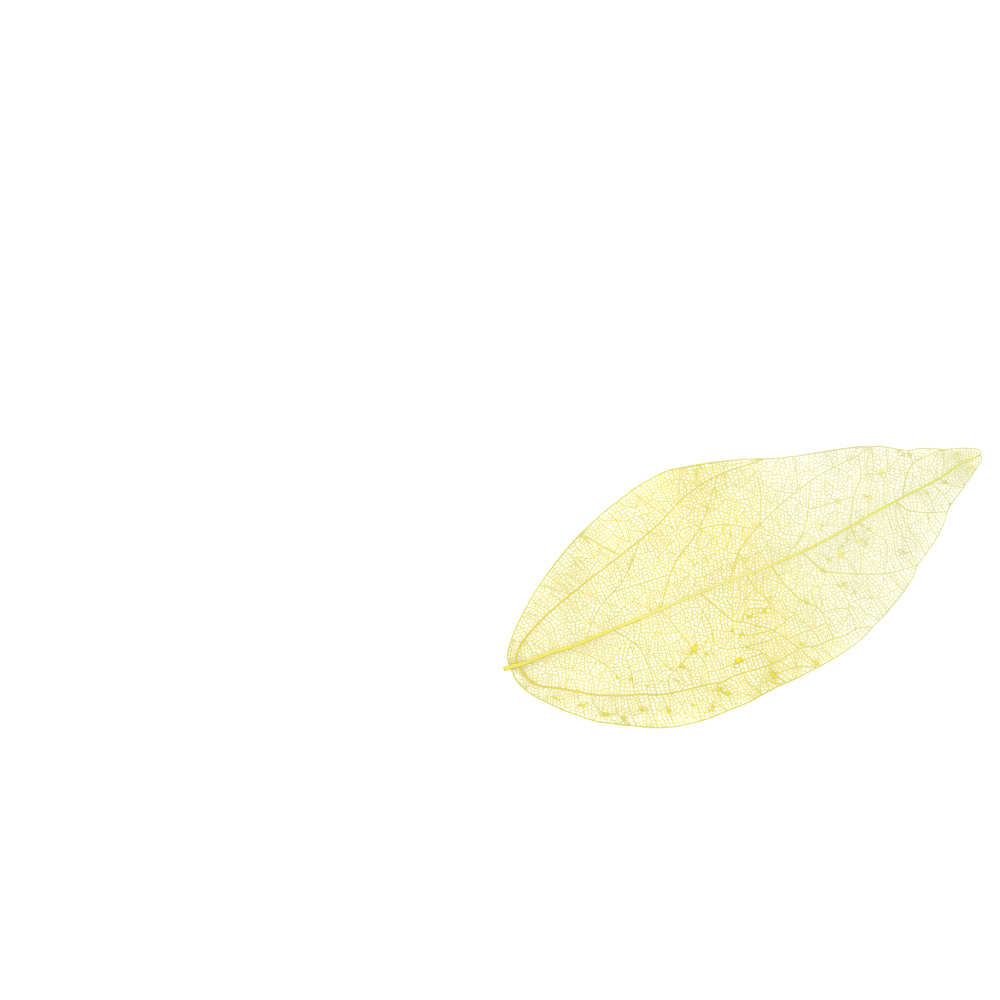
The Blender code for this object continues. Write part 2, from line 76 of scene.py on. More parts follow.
# Traced veins, each drawn after the ones that it joins: name of the kind, points in mm
tracedVeins = [
    # two strong veins that run from the leaf base inside each margin
    ("strong", [(1.4, -0.3), (1.9, -3.0), (3.3, -4.9), (5.5, -6.2), (8.4, -8.1), (11.0, -9.9),
                (15.0, -11.8), (18.0, -12.9), (20.5, -14.1), (24.0, -15.0), (28.0, -15.7),
                (31.0, -16.4), (33.5, -16.35), (38.5, -17.0), (42.0, -16.95), (45.0, -16.6),
                (47.5, -17.3), (50.6, -17.4), (52.5, -17.7), (54.5, -17.4), (57.3, -18.3)]),
    ("strong", [(0.9, -0.1), (3.0, 2.6), (9.0, 5.4), (16.0, 7.4), (24.0, 9.4), (31.4, 11.4),
                (37.9, 14.0), (44.5, 14.9), (52.3, 14.2)]),
    # right half, from base to tip
    ("side", [(33.5, -1.5), (35.7, -6.2), (36.7, -8.0), (38.3, -8.9), (39.5, -10.0), (41.5, -11.5),
              (42.8, -13.2), (43.7, -14.7), (44.7, -16.6)]),
    ("side", [(51.5, -2.1), (52.3, -4.0), (53.5, -6.4), (56.0, -8.0), (60.0, -10.0), (63.5, -11.3),
              (68.1, -12.0)]),
    ("side", [(46.0, -2.0), (46.7, -5.5), (48.0, -9.0), (48.9, -10.1), (50.4, -12.0), (50.5, -14.0),
              (50.6, -17.4)]),
    ("weak", [(18.0, -1.2), (20.6, -5.3), (20.9, -9.0), (20.7, -11.0), (20.3, -14.0)]),
    ("weak", [(47.8, -9.4), (46.4, -10.9), (44.2, -11.6), (42.0, -12.2)]),
    ("weak", [(54.5, -7.2), (55.1, -11.0), (55.3, -12.9), (54.7, -13.7), (54.8, -15.5),
              (54.5, -17.4)]),
    ("weak", [(53.5, -6.4), (53.5, -7.5), (52.6, -8.4), (51.4, -9.5), (51.1, -11.5),
              (50.4, -12.0)]),
    ("side", [(69.0, -0.8), (69.8, -2.3), (70.3, -3.1), (73.0, -4.7), (76.1, -5.9)]),
    ("weak", [(77.4, -0.3), (77.9, -1.7), (80.2, -3.4)]),
    ("weak", [(75.6, -0.5), (76.6, -2.8), (76.9, -4.0), (77.2, -5.1)]),
    ("weak", [(60.6, -1.6), (60.4, -5.9), (59.6, -8.0), (58.9, -9.4)]),
    ("weak", [(62.0, -1.4), (63.4, -3.9), (64.9, -6.1), (64.4, -8.0), (62.6, -10.9)]),
    ("cross", [(67.1, -1.0), (66.8, -3.2), (66.5, -5.8), (65.6, -8.6), (65.7, -11.6)]),
    ("cross", [(70.1, -3.0), (69.5, -4.8), (69.3, -6.5), (69.8, -8.4), (70.0, -10.9)]),
    ("cross", [(69.0, -1.2), (68.1, -3.3), (67.9, -6.6), (68.0, -11.9)]),
    ("cross", [(59.8, -9.9), (59.2, -12.0), (59.6, -17.4)]),
    ("cross", [(63.3, -11.2), (63.8, -13.6), (64.4, -15.0)]),
    ("cross", [(50.5, -14.3), (49.5, -14.5), (47.9, -14.5), (45.6, -14.3), (43.6, -14.5)]),
    ("cross", [(46.6, -10.8), (46.9, -12.4), (47.9, -14.5)]),
    ("cross", [(47.9, -14.6), (48.3, -16.2), (48.2, -17.3)]),
    ("cross", [(55.2, -12.9), (56.3, -13.3), (57.2, -13.0), (59.3, -14.0)]),
    ("cross", [(50.5, -12.6), (53.2, -13.1), (54.6, -13.7)]),
    ("cross", [(73.0, -4.7), (72.6, -7.0), (72.9, -9.1)]),
    ("cross", [(73.4, -0.6), (74.4, -1.8), (74.2, -5.2)]),
    ("cross", [(38.0, -8.7), (38.8, -7.5), (39.6, -7.2), (41.0, -7.6), (42.8, -8.3), (43.4, -7.2),
               (42.3, -5.4), (41.6, -1.8)]),
    ("cross", [(42.8, -8.3), (43.8, -9.2), (44.3, -10.6), (44.6, -11.5)]),
    ("cross", [(36.6, -7.9), (35.8, -9.7), (37.0, -10.6), (38.5, -11.3), (42.0, -12.0)]),
    ("cross", [(32.4, -1.4), (32.9, -7.2), (32.3, -10.1), (33.3, -11.5), (35.0, -12.2),
               (37.9, -12.9), (40.0, -13.3), (42.8, -13.3)]),
    ("cross", [(36.6, -12.6), (38.9, -14.6), (39.4, -17.0)]),
    ("cross", [(26.5, -1.3), (28.0, -6.8), (28.7, -9.6), (29.5, -11.9), (29.4, -13.9),
               (28.9, -15.9)]),
    ("cross", [(28.7, -9.6), (26.9, -10.6), (25.7, -11.1), (23.2, -12.1), (22.7, -13.5),
               (22.4, -14.5)]),
    ("cross", [(26.1, -10.9), (26.6, -13.0), (26.2, -15.4)]),
    ("cross", [(29.3, -13.9), (31.5, -14.4), (34.4, -14.5), (36.8, -14.6), (38.8, -14.8)]),
    ("cross", [(9.6, -0.9), (13.2, -4.2), (15.6, -8.8), (14.6, -11.6)]),
    ("cross", [(17.8, -5.6), (18.0, -8.4), (17.5, -9.9), (17.0, -12.4)]),
    # left half, from base to tip
    ("side", [(38.8, -1.6), (43.0, 2.7), (50.5, 6.0), (57.7, 7.9), (62.8, 8.4), (66.5, 8.5),
              (68.8, 9.0)]),
    ("side", [(26.5, -1.3), (31.5, 4.4), (38.0, 8.4), (44.0, 14.8)]),
    ("weak", [(13.0, -1.1), (17.5, 3.0), (23.0, 5.6), (28.0, 10.4)]),
    ("side", [(60.4, -1.6), (63.1, 2.7), (65.2, 4.6), (66.0, 6.5), (66.6, 8.5)]),
    ("side", [(70.4, -0.7), (71.2, 0.6), (72.2, 2.0), (74.1, 3.65), (76.0, 3.8), (79.5, 3.8)]),
    ("weak", [(48.5, -2.1), (53.5, 1.2), (57.7, 7.9)]),
    ("cross", [(64.0, -1.2), (65.3, 1.6), (67.4, 4.6), (68.3, 6.4), (69.2, 8.9)]),
    ("cross", [(67.2, -1.0), (68.3, 2.3), (70.1, 4.8), (71.0, 7.0), (71.3, 7.9)]),
    ("cross", [(65.8, 5.3), (67.6, 4.8)]),
    ("cross", [(67.6, 4.8), (68.9, 4.2), (69.6, 4.1)]),
    ("cross", [(70.0, 4.7), (71.4, 3.9), (72.2, 2.1)]),
    ("cross", [(74.2, 3.7), (74.3, 5.9)]),
    ("cross", [(77.9, -0.2), (79.0, 1.8), (79.6, 3.7)]),
    ("cross", [(37.6, 8.2), (42.0, 7.0), (46.2, 4.2)]),
    ("cross", [(47.0, 4.6), (49.6, 10.2), (49.8, 14.6)]),
    ("cross", [(55.0, 7.2), (57.0, 12.6)]),
    ("cross", [(55.8, 3.6), (60.2, 3.1), (63.0, 2.6)]),
    ("cross", [(20.0, 4.5), (30.4, 3.2)]),
    # from the strong veins to the margins
    ("cross", [(8.4, -8.1), (8.0, -9.6), (8.4, -10.6), (7.9, -12.6)]),
    ("cross", [(10.4, -9.6), (10.2, -11.6), (11.4, -13.7), (13.0, -14.2), (13.6, -16.5)]),
    ("cross", [(14.0, -11.4), (13.3, -12.6), (13.1, -14.3)]),
    ("cross", [(15.6, -12.1), (15.3, -13.6), (15.1, -15.2), (15.0, -17.3)]),
    ("cross", [(18.9, -13.4), (18.5, -15.3), (18.2, -19.0)]),
    ("cross", [(21.0, -14.2), (21.0, -16.2), (20.8, -20.0)]),
    ("cross", [(25.8, -15.4), (25.6, -17.8), (25.3, -20.8)]),
    ("cross", [(30.1, -16.2), (29.9, -17.6), (30.9, -18.6), (30.8, -21.1)]),
    ("cross", [(34.7, -16.6), (34.8, -18.6), (35.4, -19.5), (35.9, -21.1)]),
    ("cross", [(39.1, -17.0), (39.0, -18.7), (40.0, -19.9), (40.4, -20.9)]),
    ("cross", [(39.1, -18.8), (43.3, -19.2), (46.0, -20.6)]),
    ("cross", [(44.9, -16.7), (45.4, -18.3), (46.4, -20.0), (46.6, -20.6)]),
    ("cross", [(48.5, -17.35), (48.3, -18.3), (49.3, -20.4)]),
    ("cross", [(14.0, 6.9), (10.0, 10.4)]),
    ("cross", [(24.0, 9.4), (19.6, 15.3)]),
    ("cross", [(33.5, 12.2), (30.0, 18.4)]),
]

# Way that the rows of the net run: x and y in mm, angle from the leaf's length in degrees
netRows = [
    (4, -7.5, 55), (8, -10.5, 62), (14, -9, 66), (13, -14, 74), (20, -11, 78), (21, -17, 88),
    (27, -12, 85), (27, -18, 89), (36, -19, 103), (35, -13, 78), (40, -14, 70), (42, -19, 110),
    (40, -7, 60), (47, -13, 80), (48, -19, 112), (50, -6, 70), (53, -15, 95), (57, -15, 108),
    (60, -6, 68), (64, -7, 64), (62, -13.5, 105), (66, -13, 118), (68, -5, 78), (72, -7, 82),
    (74.5, -7, 115), (75, -2.5, 100), (80, -2, 112), (84, 1.5, 60), (80, 2, 62), (76, 2, 68),
    (73, 1, 68), (68, 6, 64), (66, 3, 62), (60, 5, 65), (50, 10, 70), (42, 4, 62), (40, 16, 80),
    (30, 14, 105), (20, 12, 112), (10, 7, 120), (30, 3, 70), (14, 1, 75), (10, -3, 70),
    (24, -4, 78),
]

# Kinds of vein, fine to coarse: width and height of its bars in the net, in mm, how far its
# junctions give way when the net is evened out (1 is all the way), how much of the darker dye of
# leftover tissue its bars have, and how thick the tube over them is at its start and its end
veinKinds = {
    "finest": {"width": 0.116, "height": 0.07, "gives": 0.50},
    "fine": {"width": 0.134, "height": 0.08, "gives": 0.45},
    "coarse": {"width": 0.158, "height": 0.10, "gives": 0.30, "tint": 0.4},
    "cross": {"width": 0.190, "height": 0.13, "gives": 0.20, "tint": 0.75},
    "weak": {"width": 0.170, "height": 0.14, "gives": 0.14, "tube": (0.19, 0.16)},
    "side": {"width": 0.180, "height": 0.15, "gives": 0.08, "tube": (0.26, 0.18)},
    "strong": {"width": 0.200, "height": 0.16, "gives": 0.03, "tube": (0.36, 0.20)},
    "margin": {"width": 0.180, "height": 0.15, "gives": 0.0, "tube": (0.24, 0.24)},
    "midrib": {"width": 0.260, "height": 0.20, "gives": 0.0},
}
kindNames = list(veinKinds)

netPlan = {
    "seed": 11,
    "outlineStep": 0.8,  # mm between the points of the margins
    "veinStep": 0.9,  # mm between the points of the other veins
    "junctionGap": 0.18,  # mm, least distance of a new junction from the ones on the same vein
    "cellSize": 0.587,  # mm, along and across the rows
    "finerFrom": 76.0,  # mm from the base, where the cells begin to get smaller
    "finerRun": 6.0,
    "tipSize": 0.76,  # size of the cells near the tip, in the usual size
    "cutAbove": 1.42,  # cells longer than this, in cell sizes, are cut again
    "cutSpread": 0.16,
    "cutSkew": 0.12,
    "cutShift": 0.10,
    "cutTries": 4,
    "rowsBelow": 9.0,  # mm2, cells smaller than this are cut into rows and then across them
    "rowGain": 1.03,  # a cell's mean width across its rows counts this much more
    "follow": 2.5,  # how much the rows in a slender cell turn to its own length
    "bowAbove": 1.7,  # mm2, cells larger than this are cut by a bowed vein
    "bow": 0.12,  # share of the cut's length
    "lean": 0.6,  # how much of the bow may go to and fro
    "coarseAbove": 5.0,  # mm2, cells larger than this are cut by a coarse vein
    "fineAbove": 1.3,  # mm2, and larger than this by a fine one
    "fuller": [(44.0, 14.0, 0.15), (84.0, 7.0, 0.07)],  # wider bars: x, reach in mm, share added
    "slimmest": 0.55,  # share of their width that the bars round a slim cell keep
    "straightBelow": 0.35,  # sine of the largest turn that a rim takes without a mitre
    "leastTurn": 0.1,
    "longestMitre": 2.2,  # in half widths of the wider bar
    "outerMitre": 0.6,  # least cosine that the margin's outer rim reckons with
    "leastSide": 0.03,  # mm, shorter sides of an opening are merged
    "leastOpening": 0.012,  # mm2
    "tipTint": 0.85,  # share of the tissue's dye that the net has at the tip
    "tintFrom": 77.0,  # mm from the base
    "tintRun": 6.0,
    "weld": 0.0004,
}

# Crumbs of leftover tissue, where the bars swell and small cells close: x, y and reach in mm
crumbPlan = {
    "seed": 5,
    "size": 1.35,  # of each given reach
    "swell": 3.1,  # widest bar at a crumb's middle, in its usual width
    "stretch": 1.8,  # each is this much longer than its reach and as much narrower
    "farthest": 2.0,  # in reaches, what lies farther off isn't looked at
    "ragged": 1.2,  # how uneven the edges are
    "raggedness": 2.0,  # how finely, per mm
    "leastRagged": 0.75,
    "tint": 1.5,
    "closes": 0.66,  # how far inside a crumb a cell's middle lies when it is closed
    "places": [
        (68.9, 4.1, 0.5), (65.3, 1.65, 0.45), (74.4, -1.7, 0.35), (77.6, -1.3, 0.4),
        (66.7, -9.0, 0.4), (82.3, -0.9, 0.35), (81.4, 2.1, 0.45), (74.4, 5.1, 0.3),
        (73.3, 5.6, 0.3), (53.4, -6.4, 0.35), (55.5, -9.8, 0.6), (56.9, -11.8, 0.5),
        (57.1, -5.5, 0.6), (58.2, -4.0, 0.35), (59.3, -3.8, 0.4), (60.5, -2.9, 0.35),
        (61.1, -4.4, 0.35), (61.6, -5.4, 0.5), (63.4, -3.4, 0.55), (54.9, -5.5, 0.3),
        (60.2, 3.1, 0.5), (56.6, 0.6, 0.5), (45.2, -16.3, 0.4), (28.7, -9.5, 0.7),
        (25.7, -11.0, 0.5), (30.4, -10.9, 0.45), (39.6, -8.3, 0.45), (41.9, -8.7, 0.5),
        (34.4, -14.6, 0.6), (35.3, -14.5, 0.35), (30.0, -17.4, 0.45), (30.9, -18.5, 0.45),
        (27.8, -19.5, 0.4), (27.2, -19.9, 0.3), (39.0, -18.8, 0.5), (46.4, -20.0, 0.4),
        (35.8, -9.5, 0.35), (8.4, -10.5, 0.45), (4.9, -7.7, 0.4), (11.4, -13.6, 0.35),
        (16.9, -15.0, 0.45), (13.6, -15.1, 0.3), (20.9, -17.0, 0.4), (17.6, -9.9, 0.4),
        (19.4, -11.9, 0.4), (15.6, -8.8, 0.3), (37.2, -10.7, 0.3), (48.9, -10.0, 0.35),
        (43.5, -7.0, 0.35), (24.9, -17.9, 0.3), (73.1, 6.5, 0.35), (77.0, -5.1, 0.3),
        (79.4, 3.6, 0.35),
    ],
}

# How the leaf rests, in mm
restPlan = {
    "floorGap": 0.125,  # height of a margin's centre line where it touches the floor
    "archRise": 3.4,
    "archFullness": 0.9,
    "tipLift": 1.1,
    "tipRun": 21.0,
    "baseLift": 0.30,
    "baseRun": 8.0,
    "leastHalf": 2.0,  # a half of the leaf counts as at least this wide
    "marginWave": 1.3,
    "lowPoints": {1: (17.0, 41.0, 66.0), -1: (15.0, 38.0, 62.0)},
    "lowReach": 11.0,
    "cockle": 0.16,  # small uneven swells of the dried net
    "cockleSize": 7.0,
    "cockleRun": 6.0,
}


# Points about step apart on a round curve through the given ones
def smoothPath(points, step):
    knots = [Vector((x, y, 0.0)) for x, y in points]
    knots = [2 * knots[0] - knots[1], *knots, 2 * knots[-1] - knots[-2]]
    parts = 12
    fine = [knots[1]]
    for p0, p1, p2, p3 in zip(knots, knots[1:], knots[2:], knots[3:]):
        for i in range(1, parts + 1):
            t = i / parts
            fine.append(0.5 * (2 * p1 + (p2 - p0) * t + (2 * p0 - 5 * p1 + 4 * p2 - p3) * t**2
                               + (3 * p1 - p0 - 3 * p2 + p3) * t**3))
    lengths = [0.0]
    for a, b in zip(fine, fine[1:]):
        lengths.append(lengths[-1] + (b - a).length)
    count = max(1, round(lengths[-1] / step))
    path, k = [fine[0]], 0
    for i in range(1, count):
        wanted = lengths[-1] * i / count
        while lengths[k + 1] < wanted:
            k += 1
        share = (wanted - lengths[k]) / (lengths[k + 1] - lengths[k])
        path.append(fine[k].lerp(fine[k + 1], share))
    return path + [fine[-1]]


def smoothStep(t):
    t = min(max(t, 0.0), 1.0)
    return t * t * (3 - 2 * t)


def inside(face, point):
    hit = False
    for loop in face.loops:
        a, b = loop.vert.co, loop.link_loop_next.vert.co
        if (a.y > point.y) != (b.y > point.y):
            if point.x < a.x + (point.y - a.y) * (b.x - a.x) / (b.y - a.y):
                hit = not hit
    return hit


def placeOn(edge, point):
    a, b = (vert.co for vert in edge.verts)
    return min(max(intersect_point_line(point, a, b)[1], 0.0), 1.0)


def nearestEdge(bm, point):
    def gap(edge):
        a, b = (vert.co for vert in edge.verts)
        return (a.lerp(b, placeOn(edge, point)) - point).length
    return min(bm.edges, key=gap)


# The vertex where a vein joins edge near point: a bend of it, or a new one clear of its ends
def junction(edge, point):
    a, b = edge.verts
    length = edge.calc_length()
    share = placeOn(edge, point)
    gap = netPlan["junctionGap"]
    for vert, away in ((a, share * length), (b, (1 - share) * length)):
        if away < gap and len(vert.link_edges) == 2:
            return vert
    keep = min(0.5, gap / length)
    return bmesh.utils.edge_split(edge, a, min(max(share, keep), 1 - keep))[1]


def addVein(bm, layers, points, kind, number):
    path = smoothPath(points, netPlan["veinStep"])
    start = junction(nearestEdge(bm, path[0]), path[0])
    end = junction(nearestEdge(bm, path[-1]), path[-1])
    middle = path[len(path) // 2] if len(path) > 2 else (start.co + end.co) / 2
    for face in start.link_faces:
        if end in face.verts and inside(face, middle):
            before = set(face.edges)
            made = bmesh.utils.face_split(face, start, end, coords=path[1:-1])[0]
            for edge in set(made.edges) - before:
                edge[layers["kind"]] = kindNames.index(kind)
                edge[layers["vein"]] = number
            return
    print("vein left out:", kind, points[0], points[-1])


def drawVeins(bm, layers):
    step = netPlan["outlineStep"]
    outline = smoothPath(leafPlan["rightMargin"], step)
    outline += [Vector((x, y, 0.0)) for x, y in leafPlan["tip"]]
    outline += smoothPath(leafPlan["leftMargin"], step)
    outline.append(Vector((0.0, 0.0, 0.0)))
    bm.faces.new([bm.verts.new(point) for point in outline])
    for edge in bm.edges:
        edge[layers["kind"]] = kindNames.index("margin")
        edge[layers["vein"]] = 1
    addVein(bm, layers, leafPlan["midrib"], "midrib", 2)
    for number, (kind, points) in enumerate(tracedVeins, 3):
        addVein(bm, layers, points, kind, number)


# Direction of a cell's length with its angle doubled. It is 0 long for a round cell and nearly 1
# for a slender one
def slenderness(face):
    centre = face.calc_center_median()
    xx = yy = xy = 0.0
    for edge in face.edges:
        offset = (edge.verts[0].co + edge.verts[1].co) / 2 - centre
        weight = edge.calc_length()
        xx += weight * offset.x**2
        yy += weight * offset.y**2
        xy += weight * offset.x * offset.y
    return Vector((xx - yy, 2 * xy)) / (xx + yy)


def halfAngle(doubled):
    turn = math.atan2(doubled.y, doubled.x) / 2
    return Vector((math.cos(turn), math.sin(turn), 0.0))


# Points of a vein that bows between two junctions, or none where it would leave the cell
def bowedCut(face, start, end, draw):
    way = end.co - start.co
    across = Vector((-way.y, way.x, 0.0))
    count = max(1, round(way.length / netPlan["veinStep"]) - 1)
    bow, lean = draw.uniform(-1, 1), draw.uniform(-netPlan["lean"], netPlan["lean"])
    points = []
    for i in range(1, count + 1):
        t = i / (count + 1)
        swell = math.sin(math.pi * t) * bow + math.sin(2 * math.pi * t) * lean
        points.append(start.co + way * t + across * netPlan["bow"] * swell)
    return points if all(inside(face, point) for point in points) else []


# The net is finer near the tip
def cellSize(x):
    finer = smoothStep((x - netPlan["finerFrom"]) / netPlan["finerRun"])
    return netPlan["cellSize"] * (1 - (1 - netPlan["tipSize"]) * finer)


# Direction of the net's rows at a place, with its angle doubled: the nearest given ones count most
def rowWay(point):
    xx = yy = 0.0
    for x, y, angle in netRows:
        weight = ((point.x - x)**2 + (point.y - y)**2 + 1) ** -1.5
        xx += weight * math.cos(math.radians(2 * angle))
        yy += weight * math.sin(math.radians(2 * angle))
    return Vector((xx, yy)).normalized()


def extent(face, axis):
    reach = [vert.co.dot(axis) for vert in face.verts]
    return max(reach) - min(reach)


# Along which axis and length a cell is cut and into how many parts, or nothing for a small one
def wantedCut(face, centre, area, draw):
    own = slenderness(face)
    if area > netPlan["rowsBelow"]:
        axis = halfAngle(own)
        return axis, extent(face, axis), 2
    rows = halfAngle(rowWay(centre) + own * own.length * netPlan["follow"])
    across = Vector((-rows.y, rows.x, 0.0))
    long, wide = extent(face, rows), extent(face, across)
    meanWide, meanLong = netPlan["rowGain"] * area / long, math.sqrt(area * long / wide)
    for axis, length in ((across, meanWide), (rows, meanLong)):
        parts = length / cellSize(centre.x)
        if parts > netPlan["cutAbove"] + draw.uniform(-1, 1) * netPlan["cutSpread"]:
            return axis, length, max(2, round(parts))
    return None


# Splits a cell by one vein and returns its parts, or nothing if no vein fits
def splitCell(bm, layers, face, area, cut, draw):
    axis, length, parts = cut
    centre = face.calc_center_median_weighted()
    share = (parts // 2) / parts - 0.5
    shift = share * draw.choice((-1, 1)) + draw.uniform(-1, 1) * netPlan["cutShift"] / parts
    point = centre + axis * length * shift
    skew = draw.uniform(-1, 1) * netPlan["cutSkew"]
    side = Vector((axis.x * math.cos(skew) - axis.y * math.sin(skew),
                   axis.x * math.sin(skew) + axis.y * math.cos(skew), 0.0))
    way = Vector((-side.y, side.x, 0.0))
    hits = []
    for loop in face.loops:
        a, b = loop.vert.co - point, loop.link_loop_next.vert.co - point
        if (a.dot(side) > 0) != (b.dot(side) > 0):
            along = a.dot(side) / (a.dot(side) - b.dot(side))
            hits.append((a.lerp(b, along).dot(way), loop.edge))
    hits.sort(key=lambda hit: hit[0])
    spans = [(abs(a[0] + b[0]), a, b) for a, b in zip(hits, hits[1:])
             if inside(face, point + way * (a[0] + b[0]) / 2)]
    if not spans:
        return []
    ends = min(spans, key=lambda span: span[0])[1:]
    start, end = (junction(edge, point + way * along) for along, edge in ends)
    if start is end or any(end in edge.verts for edge in start.link_edges):
        return []
    before = set(face.edges)
    bends = bowedCut(face, start, end, draw) if area > netPlan["bowAbove"] else []
    made = bmesh.utils.face_split(face, start, end, coords=bends)[0]
    if not made:
        return []
    kind = "finest"
    if area > netPlan["fineAbove"]:
        kind = "coarse" if area > netPlan["coarseAbove"] else "fine"
    for edge in set(made.edges) - before:
        edge[layers["kind"]] = kindNames.index(kind)
        edge[layers["vein"]] = 0
    return [face, made]


def splitCells(bm, layers, draw):
    cells = list(bm.faces)
    done = 0
    while done < len(cells):
        cell = cells[done]
        done += 1
        area = cell.calc_area()
        cut = wantedCut(cell, cell.calc_center_median_weighted(), area, draw)
        if cut:
            parts = []
            for _ in range(netPlan["cutTries"]):
                parts = parts or splitCell(bm, layers, cell, area, cut, draw)
            cells.extend(parts)


# Evens out the net: each junction moves towards the middle of the cells round it, and each bend
# towards the middle of its neighbours. Coarser veins give less
def relax(bm, layers):
    gives = [veinKinds[kind]["gives"] for kind in kindNames]
    middles = {face: face.calc_center_median_weighted() for face in bm.faces}
    moves = []
    for vert in bm.verts:
        share = gives[max(edge[layers["kind"]] for edge in vert.link_edges)]
        if share:
            near = [middles[face] for face in vert.link_faces]
            if len(vert.link_edges) == 2:
                near = [edge.other_vert(vert).co for edge in vert.link_edges]
            moves.append((vert, vert.co.lerp(sum(near, Vector()) / len(near), share)))
    for vert, place in moves:
        vert.co = place


# Width of the leaf's left half (1) and right half (-1) from base to tip, as pairs of x and width
marginLines = {side: sorted((p.x, abs(p.y)) for p in smoothPath(leafPlan[name], 1.0))
               for side, name in ((1, "leftMargin"), (-1, "rightMargin"))}


def distanceAt(line, x):
    for (x0, y0), (x1, y1) in zip(line, line[1:]):
        if x0 <= x < x1:
            return y0 + (y1 - y0) * (x - x0) / (x1 - x0)
    return line[0][1] if x < line[0][0] else line[-1][1]


# Height above the floor of the middle of the leaf's thickness, over a place of the flat leaf
def restingHeight(x, y):
    r = restPlan
    side = 1 if y > 0 else -1
    length = leafPlan["length"]
    out = min(abs(y) / max(distanceAt(marginLines[side], x), r["leastHalf"]), 1.0)
    along = min(max(x / length, 0.0), 1.0)
    tip = r["tipLift"] * smoothStep((x - length + r["tipRun"]) / r["tipRun"])
    fromLow = min(abs(x - low) for low in r["lowPoints"][side])
    wave = r["marginWave"] * smoothStep(fromLow / r["lowReach"])
    wave *= smoothStep(x / r["lowReach"]) * smoothStep((length - x) / r["lowReach"])
    middle = r["baseLift"] + r["archRise"] * abs(math.sin(math.pi * along)) ** r["archFullness"]
    edge = r["baseLift"] * (1 - smoothStep(x / r["baseRun"])) + wave
    swell = noise.noise(Vector((x, y, 0.0)) / r["cockleSize"]) * r["cockle"] * (1 - out**4)
    swell *= smoothStep(x / r["cockleRun"])
    return r["floorGap"] + tip + middle * (1 - out**2) + edge * out**2 + swell


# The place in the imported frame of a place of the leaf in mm
def inFrame(x, y, z):
    return Vector((x - leafPlan["centre"][0], y - leafPlan["centre"][1], z)) * mm


def halfSize(edge, layers, size):
    return veinKinds[kindNames[edge[layers["kind"]]]][size] / 2


def leftOf(a, b):
    way = (b.co - a.co).normalized()
    return Vector((-way.y, way.x, 0.0))


# Where a cell's rim turns at vert, between the edges that come into and go out of it. Bars keep the
# given share of their width
def corner(layers, into, vert, out, share):
    before, after = into.other_vert(vert), out.other_vert(vert)
    share *= vert[layers["swell"]]
    widthIn, widthOut = (halfSize(edge, layers, "width") * share for edge in (into, out))
    leftIn, leftOut = leftOf(before, vert), leftOf(vert, after)
    turn = leftIn.cross(leftOut).z
    if abs(turn) < netPlan["straightBelow"] and leftIn.dot(leftOut) > 0:
        return vert.co + (leftIn + leftOut).normalized() * (widthIn + widthOut) / 2
    wayIn, wayOut = (vert.co - before.co).normalized(), (after.co - vert.co).normalized()
    turn = math.copysign(max(abs(turn), netPlan["leastTurn"]), turn)
    offset = (wayOut * widthIn - wayIn * widthOut) / turn
    longest = netPlan["longestMitre"] * max(widthIn, widthOut)
    return vert.co + offset * min(1.0, longest / offset.length)


# The first side of an opening that has all but vanished or turned round, by its place in runs
def closingSide(loops, places, runs):
    for i, run in enumerate(runs):
        a, b = run[-1], runs[(i + 1) % len(runs)][0]
        side, whole = places[b] - places[a], loops[b].vert.co - loops[a].vert.co
        if side.dot(whole) < netPlan["leastSide"]**2:
            return i
    return None


# Corners of the opening in a cell, or nothing where the cell is too small to stay open. Corners
# at the ends of a side that closes are merged, so some of the cell's own may share a place
def rimPlaces(face, layers, share):
    loops = list(face.loops)
    places = [corner(layers, loop.link_loop_prev.edge, loop.vert, loop.edge, share)
              for loop in loops]
    runs = [[i] for i in range(len(loops))]
    closing = closingSide(loops, places, runs)
    while closing is not None and len(runs) > 3:
        runs = runs[closing:] + runs[:closing]
        merged = runs[0] + runs[1]
        middle = (places[runs[0][0]] + places[runs[1][0]]) / 2
        for i in merged:
            places[i] = middle
        runs = [merged, *runs[2:]]
        closing = closingSide(loops, places, runs)
    corners = [places[run[0]] for run in runs]
    area = sum(a.cross(b).z for a, b in zip(corners, corners[1:] + corners[:1])) / 2
    return places if area > netPlan["leastOpening"] else None


# How far a place lies inside the nearest crumb: 1 at its middle, 0 at its uneven edge and outside
def nearCrumb(point):
    uneven = 1 + crumbPlan["ragged"] * noise.noise(point * crumbPlan["raggedness"])
    ragged, stretch = max(crumbPlan["leastRagged"], uneven), crumbPlan["stretch"]
    near = 0.0
    for place, reach, way in crumbs:
        away = point - place
        if away.length < crumbPlan["farthest"] * reach:
            away = math.hypot(away.dot(way) / stretch, away.cross(way).z * stretch)
            near = max(near, 1 - away * ragged / reach)
    return near


# How wide the bars are at x, in their usual width
def fullness(x):
    return 1 + sum(share * smoothStep(1 - abs(x - at) / reach)
                   for at, reach, share in netPlan["fuller"])


